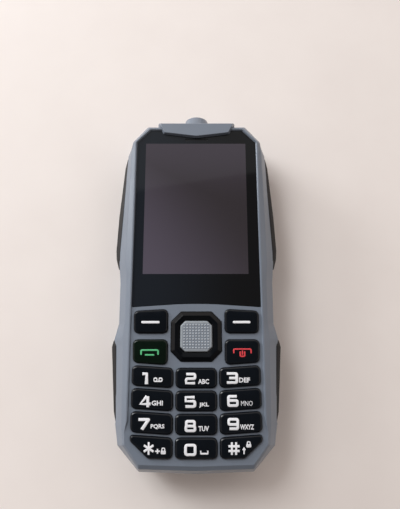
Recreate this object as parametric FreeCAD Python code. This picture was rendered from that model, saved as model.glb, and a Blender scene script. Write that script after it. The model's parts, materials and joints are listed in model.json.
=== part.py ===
import FreeCAD, Part
import math
import os

# Bar phone with a tough-looking body: a beveled two-part housing with rubber side grips,
# a 2.4 inch display behind a black window, nineteen keys and a torch on the top end.
# It lies on its back. X runs to the right, Y to the torch end, Z out of the screen.
# The origin is under the middle of the body, on the plane that the back rests on.
# Lengths are in millimetres.

os.makedirs("parts", exist_ok=True)
V = FreeCAD.Vector

# Driving dimensions of the body
half_length = 62.9
back_z = 0.0
back_edge_z = 3.6
parting_z = 9.4
side_top_z = 13.0
crease_z = 16.2
deck_z = 17.0
ridge_z = 17.5
edge_radius = 0.8
smallest_arc = 1.7
corner_chords = 3
end_wall_y = -56.0

# Display and window
display_y = 26.6
active_width = 36.72
active_height = 48.96
view_margin = 1.2
window_thickness = 1.2
adhesive_thickness = 0.15
window_gap = 0.12
ledge_thickness = 0.7

# Keys
key_top_z = 17.85
key_travel = 0.35
key_gap = 0.13
key_flange = 0.3
deck_thickness = 1.25
key_edge = 0.35
row_pitch = 7.22
key_height = 6.4
first_row_y = -29.5
row_slope = 0.9
outer_key_x = 21.2
inner_key_x = 7.6
centre_key_half = 6.75
key_corner = 1.5
pip_radius = 1.1

# Navigation ring and centre key
nav_y = -19.2
nav_half_width = 8.43
nav_half_height = 8.17
nav_corner = 3.3
nav_top_z = 18.15
nav_bottom_z = 14.7
nav_flange_height = 0.4
nav_gap = 0.2
nav_bevel_width = 1.3
nav_bevel_height = 0.75
dish_width = 1.5
dish_depth = 0.45
ok_half = 5.35
ok_corner = 1.6
ok_top_z = 18.0
ok_edge = 0.3
ok_gap = 0.3
ok_flange_grow = 0.45

# Boards and layers inside
board_bottom_z = 11.4
board_thickness = 0.8
board_half_width = 20.9
dome_height = 0.25
dome_radius = 1.8
mat_bottom_z = 13.4
mat_top_z = 14.2
wall = 1.6

# Battery bay and sliding rear cover
cover_thickness = 1.4
cover_gap = 0.05
cover_top_y = 36.0
cover_travel = 6.0
battery_width = 36.0
battery_length = 58.0
battery_thickness = 5.8
battery_top_y = 14.4
bay_half_width = 19.9
bay_roof_z = 7.7
deck_plate = 1.0

# Earpiece: the slot in the window and the sound path behind it
slot_half = 4.2
slot_y = 52.65
slot_height = 0.8
sound_half = 6.0
sound_low_y = 52.1
sound_high_y = 54.6

# Torch
torch_z = 11.5
torch_bore = 3.2
torch_sides = 24
torch_tunnel = 2.6
bezel_foot_y = 59.0
bezel_foot_radius = 5.3
bezel_rim_radius = 4.1
bezel_chamfer = 0.4

# Camera and loudspeaker on the back
camera_x = -9.5
camera_y = 46.5
camera_hole = 2.6
camera_seat = 3.6
camera_seat_depth = 0.7
speaker_x = 9.0
speaker_y = 46.5
speaker_half_x = 7.5
speaker_half_y = 5.5
slot_lengths = [7.0, 10.0, 11.0, 10.0, 7.0]
slot_pitch = 2.0
slot_width = 0.9

# Ports on the bottom end
jack_x = 12.0
jack_z = 8.6
jack_bore = 1.8
jack_nose = 2.6
jack_half_width = 3.1
jack_depth = 14.0
usb_width = 7.6
usb_height = 2.5
usb_sheet = 0.3
port_room = 0.15
mic_x = -10.0
mic_y = -55.0
mic_z = 10.4
mic_hole = 1.0


def mirrored(right_side):
    """Full outline from the points of its right side, which run from top to bottom."""
    left_side = [(-x, y) for x, y in reversed(right_side) if x > 0]
    return right_side + left_side


def mirrored_radii(right_side, radii):
    left_side = [r for (x, y), r in zip(reversed(right_side), reversed(radii)) if x > 0]
    return radii + left_side


def grown(points, distance):
    """The polygon with every side moved outwards by the distance."""
    count = len(points)
    area = sum(points[i - 1][0] * points[i][1] - points[i][0] * points[i - 1][1] for i in range(count))
    side = 1.0 if area > 0 else -1.0
    result = []
    for i in range(count):
        before, here, after = points[i - 1], points[i], points[(i + 1) % count]
        ux, uy = here[0] - before[0], here[1] - before[1]
        wx, wy = after[0] - here[0], after[1] - here[1]
        ul, wl = math.hypot(ux, uy), math.hypot(wx, wy)
        nx, ny = side * uy / ul, -side * ux / ul
        mx, my = side * wy / wl, -side * wx / wl
        scale = distance / (1.0 + nx * mx + ny * my)
        result.append((here[0] + (nx + mx) * scale, here[1] + (ny + my) * scale))
    return result


def rounded_corner(before, here, after, wanted_radius):
    """Points of a corner's tangent arc: its ends and its middle, or its ends and two chords between them."""
    back = before - here
    ahead = after - here
    room = 0.48 * min(back.Length, ahead.Length)
    back.normalize()
    ahead.normalize()
    half_angle = back.getAngle(ahead) / 2.0
    reach = min(wanted_radius / math.tan(half_angle), room)
    radius = reach * math.tan(half_angle)
    centre = here + (back + ahead).normalize() * (radius / math.sin(half_angle))
    start = here + back * reach
    steps = 2 if wanted_radius > smallest_arc else corner_chords
    turn = math.copysign(math.pi - 2.0 * half_angle, ahead.cross(back).z)
    points = []
    for i in range(steps + 1):
        spin = FreeCAD.Rotation(V(0, 0, 1), math.degrees(turn * i / steps))
        points.append(centre + spin.multVec(start - centre))
    return points


def outline(points, radii, z):
    """Closed wire through the points at one height, with its corners rounded by the radii.

    A corner smaller than the smallest arc is made of chords, which keeps it to a few flat faces.
    """
    if not isinstance(radii, list):
        radii = [radii] * len(points)
    count = len(points)
    level = [V(x, y, z) for x, y in points]
    corners = []
    for i in range(count):
        if radii[i]:
            corners.append(rounded_corner(level[i - 1], level[i], level[(i + 1) % count], radii[i]))
        else:
            corners.append([level[i]])
    edges = []
    for i in range(count):
        corner = corners[i]
        if radii[i] > smallest_arc:
            edges.append(Part.Arc(*corner).toShape())
        else:
            edges += [Part.LineSegment(a, b).toShape() for a, b in zip(corner, corner[1:])]
        edges.append(Part.LineSegment(corner[-1], corners[(i + 1) % count][0]).toShape())
    return Part.Wire(edges)


def prism(points, radii, low, high):
    return Part.Face(outline(points, radii, low)).extrude(V(0, 0, high - low))


def block(points, low, high):
    """Prism with sharp corners, for recesses and plain inner pieces."""
    closed = [V(x, y, low) for x, y in points + points[:1]]
    return Part.Face(Part.makePolygon(closed)).extrude(V(0, 0, high - low))


def softened(points, radius, edge, low, high):
    """Prism whose top edge is beveled."""
    return Part.makeLoft([
        outline(points, radius, low),
        outline(points, radius, high - edge),
        outline(grown(points, -edge), radius - 0.4 * edge, high),
    ], True, True)


def box(x0, x1, y0, y1, z0, z1):
    return Part.makeBox(x1 - x0, y1 - y0, z1 - z0, V(x0, y0, z0))


def post(x, y, low, high, radius):
    return Part.makeCylinder(radius, high - low, V(x, y, low))


def along_y(x, z, y0, y1, radius):
    return Part.makeCylinder(radius, y1 - y0, V(x, y0, z), V(0, 1, 0))


def torch_turned(stations):
    """Turned-looking solid on the torch's axis, with flat sides, through stations of place and radius."""
    angles = [2.0 * math.pi * i / torch_sides for i in range(torch_sides)]
    rings = [[V(radius * math.cos(a), y, torch_z + radius * math.sin(a)) for a in angles]
             for y, radius in stations]
    faces = [Part.Face(Part.makePolygon(ring + ring[:1])) for ring in (rings[0], rings[-1])]
    for low, high in zip(rings, rings[1:]):
        for i in range(torch_sides):
            side = [low[i - 1], low[i], high[i], high[i - 1], low[i - 1]]
            faces.append(Part.Face(Part.makePolygon(side)))
    solid = Part.Solid(Part.Shell(faces))
    if solid.Volume < 0:
        solid.reverse()
    return solid


def mirror_x(shape):
    return shape.mirror(V(0, 0, 0), V(1, 0, 0))


def joined(first, *others):
    return first.fuse(list(others)).removeSplitter()


def export(name, shape):
    solids = len(shape.Solids)
    print(name, "valid", shape.isValid(), "solids", solids, "volume", round(shape.Volume, 1))
    if solids == 1 and shape.ShapeType != "Solid":
        shape = shape.Solids[0]
    shape.exportStep("parts/" + name + ".step")


# Body outlines

# Right side of the body at the widest level, from the top end to the bottom end.
side_points = [
    (18.4, 58.8), (24.1, 52.2), (25.6, 47.9), (27.5, 10.7), (27.45, 6.6), (26.85, -0.5), (26.8, -14.7),
    (28.2, -20.1), (27.6, -22.4), (26.7, -45.5), (26.85, -47.6), (26.3, -51.0), (25.85, -54.2),
    (18.7, -62.2), (0, -half_length),
]
# The same corners on the crease of the front bevel, on the ridge round the face and on the back.
crease_points = [
    (18.1, 58.2), (23.6, 52.0), (24.0, 47.9), (24.8, 10.7), (24.75, 6.6), (24.3, -0.5), (24.3, -14.7),
    (24.9, -20.1), (24.7, -22.4), (24.3, -45.5), (24.3, -47.6), (24.0, -50.9), (23.8, -53.6),
    (18.5, -60.7), (0, -61.3),
]
ridge_points = [
    (17.3, 57.2), (22.55, 51.6), (22.6, 47.9), (22.65, 10.7), (22.65, 6.6), (22.65, -0.5), (22.65, -14.7),
    (22.7, -20.1), (22.7, -22.4), (22.7, -45.5), (22.7, -47.6), (22.6, -50.8), (22.5, -53.0),
    (18.2, -58.4), (0, -58.8),
]
back_points = [
    (17.0, 56.2), (21.5, 50.9), (22.6, 47.4), (24.5, 10.7), (24.4, 6.5), (23.8, -0.6), (23.7, -14.7),
    (25.0, -20.3), (24.5, -22.6), (23.8, -45.3), (23.9, -47.4), (23.4, -50.6), (22.9, -53.0),
    (17.3, -59.4), (0, -60.2),
]
corner_radii = [edge_radius] * 2 + [0] * 9 + [0, edge_radius, edge_radius, 60.0]
body_radii = mirrored_radii(side_points, corner_radii)


def body_wire(right_side, z):
    return outline(mirrored(right_side), body_radii, z)


front_form = Part.makeLoft([
    body_wire(side_points, parting_z),
    body_wire(side_points, side_top_z),
    body_wire(crease_points, crease_z),
    body_wire(ridge_points, ridge_z),
], True, True)
rear_form = Part.makeLoft([
    body_wire(back_points, back_z),
    body_wire(side_points, back_edge_z),
    body_wire(side_points, parting_z),
], True, True)

# The face inside the ridge lies lower and runs out through the bottom bevel.
face_points = mirrored([(17.0, 56.3), (21.85, 51.45), (21.95, -46.0), (24.6, -54.0), (24.6, -70.0)])
face_rise = 0.7
face_sink = Part.makeLoft([
    outline(face_points, edge_radius, deck_z),
    outline(grown(face_points, face_rise * 0.7), edge_radius, deck_z + face_rise),
], True, True)
front_form = front_form.cut(face_sink)

# Window outline: straight top, chamfered corners and a bottom edge that bows upwards.
window_right = [(16.9, 56.2), (21.75, 51.4), (21.95, -9.3), (0, -7.8)]
window_points = mirrored(window_right)
window_radii = mirrored_radii(window_right, [0.5, 0.5, 0.3, 300.0])
window_bottom_z = deck_z - window_thickness
ledge_z = window_bottom_z - adhesive_thickness
display_roof_z = ledge_z - ledge_thickness
key_roof_z = deck_z - deck_thickness
board_top_z = board_bottom_z + board_thickness
usb_top_z = board_bottom_z - 0.05


# Rubber grips: four pads let into the sides across the parting line

grip_low_z = 4.6
grip_high_z = 13.2
grip_bevel = 1.3
upper_grip_points = [
    (26.0, 47.2), (26.8, 43.4), (28.4, 24.3), (29.0, 11.4), (28.75, 8.2), (27.8, 4.6),
    (25.6, 4.6), (24.2, 47.2),
]
lower_grip_points = [
    (28.2, -19.8), (28.75, -20.7), (29.2, -22.7), (28.45, -33.6), (27.7, -43.8), (27.0, -47.1),
    (25.2, -47.1), (26.2, -19.8),
]


def grip(points):
    """Pad whose outer face leans inwards at the top and bottom."""
    shoulder_low = grip_low_z + grip_bevel
    shoulder_high = grip_high_z - grip_bevel
    middle = block(points, shoulder_low, shoulder_high)
    above = Part.Face(outline(points, 0, shoulder_high)).extrude(V(-grip_bevel, 0, grip_bevel))
    below = Part.Face(outline(points, 0, shoulder_low)).extrude(V(-grip_bevel, 0, -grip_bevel))
    pad = joined(middle, above, below).common(block(points, grip_low_z, grip_high_z))
    return pad.removeSplitter().Solids[0]


right_upper_grip = grip(upper_grip_points)
right_lower_grip = grip(lower_grip_points)
grips = {
    "right_upper_grip": right_upper_grip,
    "right_lower_grip": right_lower_grip,
    "left_upper_grip": mirror_x(right_upper_grip),
    "left_lower_grip": mirror_x(right_lower_grip),
}


# Keys

def flipped(points):
    return [(-x, y) for x, y in reversed(points)]


def number_key(column, row):
    """Outline of a number key. The rows of the outer columns rise towards the sides."""
    inner_top = first_row_y - row * row_pitch
    inner_bottom = inner_top - key_height
    if column == 1:
        half = centre_key_half
        return [(-half, inner_top), (half, inner_top), (half, inner_bottom), (-half, inner_bottom)]
    outer_top = inner_top + row_slope
    outer_bottom = inner_bottom + row_slope
    if row == 3:
        points = [
            (inner_key_x, inner_top), (outer_key_x, outer_top), (outer_key_x, outer_top - 1.9),
            (15.4, inner_bottom + 0.2), (inner_key_x, inner_bottom),
        ]
    else:
        points = [
            (inner_key_x, inner_top), (outer_key_x, outer_top),
            (outer_key_x, outer_bottom), (inner_key_x, inner_bottom),
        ]
    return points if column == 2 else flipped(points)


soft_right = [(9.65, -10.05), (21.15, -10.7), (20.95, -18.15), (9.6, -18.15)]
end_right = [(9.6, -20.25), (21.2, -20.25), (20.95, -27.7), (9.55, -28.5)]
key_outlines = {
    "key_soft_left": flipped(soft_right),
    "key_soft_right": soft_right,
    "key_call": flipped(end_right),
    "key_end": end_right,
}
number_names = ["key_1", "key_2", "key_3", "key_4", "key_5", "key_6", "key_7", "key_8", "key_9",
                "key_star", "key_0", "key_hash"]
for index, name in enumerate(number_names):
    key_outlines[name] = number_key(index % 3, index // 3)


def octagon(half_x, half_y, corner, centre_y):
    return [
        (half_x - corner, centre_y + half_y), (half_x, centre_y + half_y - corner),
        (half_x, centre_y - half_y + corner), (half_x - corner, centre_y - half_y),
        (corner - half_x, centre_y - half_y), (-half_x, centre_y - half_y + corner),
        (-half_x, centre_y + half_y - corner), (corner - half_x, centre_y + half_y),
    ]


nav_points = octagon(nav_half_width, nav_half_height, nav_corner, nav_y)
ok_points = octagon(ok_half, ok_half - 0.25, ok_corner, nav_y)
dome_top_z = board_top_z + dome_height
pip_bottom_z = dome_top_z + key_travel + 0.02


def middle_of(points):
    xs = [x for x, y in points]
    ys = [y for x, y in points]
    return (min(xs) + max(xs)) / 2.0, (min(ys) + max(ys)) / 2.0


def pip_place(name):
    x, y = middle_of(key_outlines[name])
    return (x * 0.94, y)


def stub(x, y, low, high, radius, sides=6):
    """Short post with flat sides, for pips, domes and small screws. The radius is to its corners."""
    angles = [2.0 * math.pi * i / sides for i in range(sides)]
    points = [(x + radius * math.cos(angle), y + radius * math.sin(angle)) for angle in angles]
    return block(points, low, high)


def key(name):
    """Moulded key: a cap with a softened top edge, a flange under the deck and a pip."""
    points = key_outlines[name]
    flange_top = key_roof_z - 0.05
    flange_bottom = key_roof_z - 0.75
    cap = softened(points, key_corner, key_edge, flange_bottom, key_top_z)
    flange = block(grown(points, key_flange), flange_bottom, flange_top)
    x, y = pip_place(name)
    pip = stub(x, y, pip_bottom_z, flange_bottom, pip_radius)
    return joined(cap, flange, pip)


def nav_ring():
    """Eight-sided rocker with a beveled outer flank, a dished top and a hole for the centre key."""
    shoulder_z = nav_top_z - nav_bevel_height
    body = Part.makeLoft([
        outline(nav_points, 0.5, nav_bottom_z),
        outline(nav_points, 0.5, shoulder_z),
        outline(grown(nav_points, -nav_bevel_width), 0.5, nav_top_z),
    ], True, True)
    dish_points = grown(ok_points, ok_gap)
    dish = Part.makeLoft([
        outline(grown(dish_points, 0.1), 0, nav_top_z - dish_depth),
        outline(grown(dish_points, dish_width), 0, nav_top_z + 0.05),
    ], True, True)
    flange = block(grown(nav_points, nav_gap + 0.2), nav_bottom_z, nav_bottom_z + nav_flange_height)
    hole = block(dish_points, nav_bottom_z - 1.0, nav_top_z + 1.0)
    return joined(body, flange).cut(dish).cut(hole)


nav_pips = [(0, 6.9), (7.4, 0), (0, -6.9), (-7.4, 0)]


def nav_pad():
    """Silicone web that carries the rocker, with a pip over each of its four domes."""
    low, high = mat_bottom_z, mat_top_z
    plate = block(grown(nav_points, -0.1), low, high)
    plate = plate.cut(block(grown(ok_points, ok_flange_grow + 0.3), low - 1.0, high + 1.0))
    pips = [stub(x, nav_y + y, pip_bottom_z, low, 0.7) for x, y in nav_pips]
    return joined(plate, *pips)


def ok_key():
    """Centre key with a softened edge and a shallow field for its dot pattern."""
    flange_bottom = mat_bottom_z
    cap = softened(ok_points, 0.5, ok_edge, flange_bottom, ok_top_z)
    flange = block(grown(ok_points, ok_flange_grow), flange_bottom, mat_top_z)
    pip = stub(0, nav_y, pip_bottom_z, flange_bottom, 1.4)
    return joined(cap, flange, pip)


# Front housing

cavity_right = [(16.4, 56.6), (21.2, 51.2), (21.2, -51.4), (16.4, -57.4)]
tray_half_width = 22.2
keypad_half_width = 21.95
keypad_top_y = -9.55
screw_places = [(22.7, 32.0), (23.0, -49.0)]
screw_shank = 0.85
screw_head = 1.5
screw_head_z = 2.9
screw_head_height = 1.2
screw_tip_z = 13.4
screw_sides = 16
screw_room = 1.05


def both(places):
    return places + [(-x, y) for x, y in places]


def port_cutters():
    """Holes through the bottom end wall for the headset jack, the charging port and the microphone."""
    y0, y1 = -half_length - 1.0, end_wall_y
    jack = along_y(jack_x, jack_z, y0, y1, jack_nose + port_room)
    usb_half = usb_width / 2.0 + port_room
    usb = box(-usb_half, usb_half, y0, y1, usb_top_z - usb_height - port_room, usb_top_z + port_room)
    mic_half = mic_hole / 2.0
    mic = box(mic_x - mic_half, mic_x + mic_half, y0, y1, mic_z - mic_half, mic_z + mic_half)
    return [jack, usb, mic]


def view_opening(low, high):
    """Opening through which the display is seen, a little larger than its active area."""
    half_x = active_width / 2.0 + view_margin
    half_y = active_height / 2.0 + view_margin
    return box(-half_x, half_x, display_y - half_y, display_y + half_y, low, high)


def sound_opening(low, high):
    return box(-sound_half, sound_half, sound_low_y, sound_high_y, low, high)


def torch_passage():
    """Way for the torch's light source through the top end wall."""
    return along_y(0, torch_z, 50.0, 62.0, torch_tunnel)


def front_housing():
    body = front_form
    board_space = block(mirrored(cavity_right), parting_z - 1.0, board_top_z + 0.1)
    tray = [(17.6, 56.8), (tray_half_width, 51.8), (tray_half_width, -8.6)]
    tray_space = block(mirrored(tray), board_top_z, display_roof_z)
    keypad = [(keypad_half_width, keypad_top_y), (keypad_half_width, -51.9), (17.0, -57.9)]
    keypad_space = block(mirrored(keypad), board_top_z, key_roof_z)
    window_seat = prism(grown(window_points, window_gap), window_radii, ledge_z, deck_z + 1.0)
    view = view_opening(display_roof_z - 1.0, ledge_z + 1.0)
    sound = sound_opening(display_roof_z - 1.0, ledge_z + 1.0)
    holes = [prism(grown(points, key_gap), key_corner + key_gap, key_roof_z - 1.0, ridge_z + 1.0)
             for points in key_outlines.values()]
    nav_hole = prism(grown(nav_points, nav_gap), 0.6, key_roof_z - 1.0, ridge_z + 1.0)
    screws = [stub(x, y, parting_z - 1.0, screw_tip_z, screw_shank, screw_sides) for x, y in both(screw_places)]
    spaces = [board_space, tray_space, keypad_space, window_seat, view, sound, nav_hole, torch_passage()]
    body = body.cut(spaces)
    body = body.cut(holes)
    body = body.cut(screws + list(grips.values()) + port_cutters())
    return body


# Window, torch cap and torch

def slot_cutter(low, high, shrink=0.0):
    half, tall = slot_half - shrink, slot_height / 2.0 - shrink
    points = [(-half, slot_y + tall), (half, slot_y + tall), (half, slot_y - tall), (-half, slot_y - tall)]
    return prism(points, tall * 0.95, low, high)


def display_window():
    glass = prism(window_points, window_radii, window_bottom_z, deck_z)
    return glass.cut(slot_cutter(window_bottom_z - 1.0, deck_z + 1.0))


def window_gasket():
    frame = prism(grown(window_points, -0.3), window_radii, ledge_z, window_bottom_z)
    view = view_opening(ledge_z - 1.0, deck_z)
    return frame.cut([view, sound_opening(ledge_z - 1.0, deck_z)])


cap_top = [(13.6, 58.6), (11.75, 55.1), (0, 53.65)]
cap_foot = [(14.5, 59.8), (12.6, 54.7), (0, 53.0)]
cap_top_z = 18.25
cap_foot_z = 16.2
cap_radii = mirrored_radii(cap_top, [0.5, 0.5, 4.0])
apron_low_z = 4.6
apron_foot_half = 12.6
apron_thickness = 2.8


def torch_cap():
    """Raised cap over the top rim that turns down over the end and carries the torch bezel."""
    crown = Part.makeLoft([
        outline(mirrored(cap_foot), cap_radii, cap_foot_z),
        outline(mirrored(cap_top), cap_radii, cap_top_z),
    ], True, True)
    apron_half, apron_y = cap_foot[0]
    apron_points = [(-apron_half, cap_foot_z), (apron_half, cap_foot_z),
                    (apron_foot_half, apron_low_z), (-apron_foot_half, apron_low_z)]
    apron = prism(apron_points, 0.8, 0.0, apron_thickness)
    apron.rotate(V(0, 0, 0), V(1, 0, 0), 90)
    apron.translate(V(0, apron_y, 0))
    bezel = torch_turned([
        (bezel_foot_y, bezel_foot_radius),
        (half_length - bezel_chamfer, bezel_rim_radius + bezel_chamfer / 3.0),
        (half_length, bezel_rim_radius - bezel_chamfer),
    ])
    cap = joined(crown, apron, bezel)
    glass = prism(grown(window_points, window_gap), window_radii, window_bottom_z, deck_z)
    cap = cap.cut([front_form, rear_form, glass])
    cap = cap.cut(torch_turned([(57.0, torch_bore), (half_length + 1.0, torch_bore)]))
    return max(cap.Solids, key=lambda s: s.Volume)


def torch_lens():
    """Clear plug in the bezel with a tapered back and a domed front."""
    radius = torch_bore - 0.03
    front_y = half_length - 1.1
    return torch_turned([(58.9, 2.5), (60.2, radius), (front_y, radius), (front_y + 0.7, radius * 0.6)])


def torch_led():
    half = 1.75
    base = box(-half, half, 57.0, 57.9, torch_z - half, torch_z + half)
    dome = torch_turned([(57.9, 1.2), (58.7, 0.8)])
    return joined(base, dome)


def earpiece_mesh():
    return slot_cutter(window_bottom_z + 0.3, deck_z - 0.2, 0.05)


# Rear housing and sliding cover

bay_bottom_y = battery_top_y + 0.2 - battery_length - 0.9
hook_places = [6.0, -15.0, -36.5]
hook_length = 5.0
hook_inner_x = 18.85
hook_root_x = 19.7
hook_tip_x = 20.5
hook_low_z = 2.0
hook_high_z = 2.7
hook_room = 0.1
hook_end_room = 0.3


def hook(y):
    """Hook on the cover's inner face: a leg in the battery bay and a tongue behind the housing's lip."""
    leg = box(hook_inner_x, hook_root_x, y, y + hook_length, cover_thickness, hook_high_z)
    tongue = box(hook_root_x, hook_tip_x, y, y + hook_length, hook_low_z, hook_high_z)
    return leg, tongue


def hook_groove(y):
    """Groove that the tongue slides in, and the release through which it leaves."""
    x0, x1 = hook_root_x + hook_room, hook_tip_x + 2.0 * hook_room
    roof_z = hook_high_z + 1.5 * hook_room
    bottom_y = y - cover_travel - hook_end_room
    release_y = y - cover_travel + hook_length + hook_end_room
    groove = box(x0, x1, bottom_y, y + hook_length + hook_end_room, hook_low_z - hook_room, roof_z)
    release = box(x0, x1, bottom_y, release_y, 1.0, roof_z)
    return [groove, release]


def cover_region(low, high, top_y):
    return box(-40.0, 40.0, -80.0, top_y, low, high)


def rear_cover():
    """Sheet that closes the lower back, with hooks inside and a thumb recess near its top edge."""
    sheet = rear_form.common(cover_region(-1.0, cover_thickness, cover_top_y))
    ribs = [box(-8.0, 8.0, y, y + 0.7, -0.5, 0.35) for y in (24.4, 26.2, 28.0, 29.8)]
    sheet = sheet.cut(ribs)
    hooks = []
    for y in hook_places:
        for piece in hook(y):
            hooks.append(piece)
            hooks.append(mirror_x(piece))
    return joined(sheet, *hooks)


def speaker_slots():
    slots = []
    for i, length in enumerate(slot_lengths):
        y = speaker_y + (i - (len(slot_lengths) - 1) / 2.0) * slot_pitch
        x0, x1 = speaker_x - length / 2.0, speaker_x + length / 2.0
        slots.append(box(x0, x1, y - slot_width / 2.0, y + slot_width / 2.0, -1.0, 3.0))
    return slots


def rear_housing():
    body = rear_form.cut(cover_region(-1.0, cover_thickness + cover_gap, cover_top_y + 0.15))
    inside = block(mirrored(cavity_right), bay_roof_z + deck_plate, parting_z + 1.0)
    bay = box(-bay_half_width, bay_half_width, bay_bottom_y, battery_top_y + 0.6, 0.0, bay_roof_z)
    card_window = box(-17.0, 17.0, -12.0, 8.5, 5.0, parting_z)
    top_space = [(15.5, 55.2), (19.8, 50.6), (19.8, 37.4)]
    top_room = block(mirrored(top_space), wall, parting_z + 1.0)
    low_space = [(19.2, -46.6), (19.2, -52.0), (15.9, -56.6)]
    low_room = block(mirrored(low_space), 3.0, parting_z + 1.0)
    contact_slot = box(-13.0, -3.0, battery_top_y - 1.0, 18.2, 2.4, parting_z)
    eye = post(camera_x, camera_y, -1.0, 3.0, camera_hole)
    eye_seat = post(camera_x, camera_y, -1.0, camera_seat_depth, camera_seat)
    cuts = [inside, bay, card_window, top_room, low_room, contact_slot, eye, eye_seat, torch_passage()]
    body = body.cut(cuts)
    cuts = speaker_slots()
    for y in hook_places:
        for piece in hook_groove(y):
            cuts.append(piece)
            cuts.append(mirror_x(piece))
    for x, y in both(screw_places):
        cuts.append(stub(x, y, 0.0, parting_z + 1.0, screw_shank * screw_room, screw_sides))
        cuts.append(stub(x, y, 0.0, screw_head_z + screw_head_height, screw_head * screw_room, screw_sides))
    body = body.cut(cuts)
    body = body.cut(list(grips.values()) + port_cutters())
    return body


def housing_screws():
    """Four machine screws, put in from the back under the sliding cover."""
    screws = []
    for x, y in both(screw_places):
        head = stub(x, y, screw_head_z, screw_head_z + screw_head_height, screw_head, screw_sides)
        shank = stub(x, y, screw_head_z + screw_head_height, screw_tip_z, screw_shank, screw_sides)
        screws.append(joined(head, shank))
    return Part.makeCompound(screws)


# Parts on the back and ends

def camera_window():
    return post(camera_x, camera_y, 0.1, camera_seat_depth, camera_seat - 0.1)


def about(x, y, half_x, half_y, low, high):
    return box(x - half_x, x + half_x, y - half_y, y + half_y, low, high)


def camera_module():
    """Square holder with a round barrel, whose mouth is behind the window."""
    holder_half = 4.0
    barrel_low_z, holder_low_z = wall + 0.1, 3.6
    base = about(camera_x, camera_y, holder_half, holder_half, holder_low_z, 8.2)
    barrel = post(camera_x, camera_y, barrel_low_z, holder_low_z, 3.2)
    pupil = stub(camera_x, camera_y, barrel_low_z - 1.0, barrel_low_z + 0.7, 1.4, 12)
    return joined(base, barrel).cut(pupil)


def loudspeaker():
    """Flat driver with a raised rim that seals round the slots."""
    rim_inset, rim_width = 0.7, 0.8
    rim_low_z, base_low_z = wall + 0.1, 2.4
    rim_x, rim_y = speaker_half_x - rim_inset, speaker_half_y - rim_inset
    base = about(speaker_x, speaker_y, speaker_half_x, speaker_half_y, base_low_z, 5.4)
    rim = about(speaker_x, speaker_y, rim_x, rim_y, rim_low_z, base_low_z)
    hollow = about(speaker_x, speaker_y, rim_x - rim_width, rim_y - rim_width, 1.0, base_low_z + 0.2)
    return joined(base, rim).cut(hollow)


def battery():
    bottom_y = battery_top_y - battery_length
    half = battery_width / 2.0
    points = [(-half, battery_top_y), (half, battery_top_y), (half, bottom_y), (-half, bottom_y)]
    low = cover_thickness + 0.35
    cell = prism(points, 1.5, low, low + battery_thickness)
    pads = [box(x, x + 1.8, battery_top_y - 0.3, battery_top_y + 1.0, 3.0, 5.6)
            for x in (-11.9, -8.9, -5.9)]
    return cell.cut(pads)


def battery_contacts():
    """Moulded block with three sprung contacts that press on the battery's pads."""
    block = box(-12.8, -3.2, battery_top_y + 0.6, 18.0, 2.6, board_bottom_z)
    blades = [box(x, x + 1.2, battery_top_y - 0.25, battery_top_y + 0.6, 3.4, 5.2)
              for x in (-11.6, -8.6, -5.6)]
    return joined(block, *blades)


def headset_jack():
    """Moulded socket whose nose lies in the end wall. A plug goes in along +Y."""
    mouth_y = -half_length + 0.9
    back_y = end_wall_y - 0.2
    base = box(jack_x - jack_half_width, jack_x + jack_half_width, back_y, mouth_y + jack_depth + 1.2,
               jack_z - jack_nose - 0.1, board_bottom_z)
    nose = along_y(jack_x, jack_z, mouth_y, back_y, jack_nose)
    bore = along_y(jack_x, jack_z, mouth_y - 1.0, mouth_y + jack_depth, jack_bore)
    return joined(base, nose).cut(bore)


def usb_connector():
    """Folded metal shell with its tongue, mouth towards the bottom end."""
    half = usb_width / 2.0
    low = usb_top_z - usb_height
    fold_x, fold_z = half - 0.8, low + 0.7
    mouth_y, inner_y = -half_length + 1.0, end_wall_y - 0.6
    points = [(-half, usb_top_z), (half, usb_top_z), (half, fold_z), (fold_x, low), (-fold_x, low),
              (-half, fold_z)]
    shell = block(points, -inner_y, -mouth_y)
    inside = block(grown(points, -usb_sheet), -inner_y + usb_sheet, -mouth_y + 1.0)
    shell = shell.cut(inside)
    shell.rotate(V(0, 0, 0), V(1, 0, 0), 90)
    tongue = box(-1.9, 1.9, mouth_y + 0.8, inner_y, usb_top_z - 1.15, usb_top_z - 0.55)
    return joined(shell, tongue)


def microphone():
    can = post(mic_x, mic_y, mic_z - 0.5, mic_z + 0.7, 1.9)
    return joined(can, stub(mic_x, mic_y, mic_z + 0.7, board_bottom_z, 1.2))


# Boards, display and keypad layers

board_right = [(16.0, 55.2), (board_half_width, 50.6), (board_half_width, -51.0), (16.0, -57.1)]


def main_board():
    board = block(mirrored(board_right), board_bottom_z, board_top_z)
    notch = box(-3.0, 3.0, 54.0, 58.0, 10.0, 13.0)
    return board.cut(notch)


def dome_places():
    places = [pip_place(name) for name in key_outlines]
    places += [(x, nav_y + y) for x, y in nav_pips]
    places.append((0.0, nav_y))
    return places


def dome_sheet():
    """Thin sheet with one snap dome under each pip."""
    sheet_points = mirrored([(20.7, -10.2), (20.7, -51.0), (16.2, -56.8)])
    film = block(sheet_points, board_top_z, board_top_z + 0.1)
    domes = [stub(x, y, board_top_z + 0.1, dome_top_z, dome_radius) for x, y in dome_places()]
    return joined(film, *domes)


def keymat():
    """Silicone mat with a standing edge. The pips of the keys pass through it."""
    edge = [(21.7, -9.8), (21.7, -51.8), (16.9, -57.6)]
    mat = block(mirrored(edge), board_top_z + 0.15, mat_top_z)
    under_right = [(20.9, -10.6), (20.9, -51.5), (16.5, -56.8)]
    under = block(mirrored(under_right), board_top_z, mat_bottom_z)
    holes = [stub(*pip_place(name), board_top_z, mat_top_z + 1.0, 1.6) for name in key_outlines]
    nav_room = block(grown(nav_points, 0.35), board_top_z + 0.3, mat_top_z + 1.0)
    return mat.cut([under, nav_room] + holes)


module_top_y = 51.7
module_bottom_y = -6.4
module_low_z = 12.55


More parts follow.
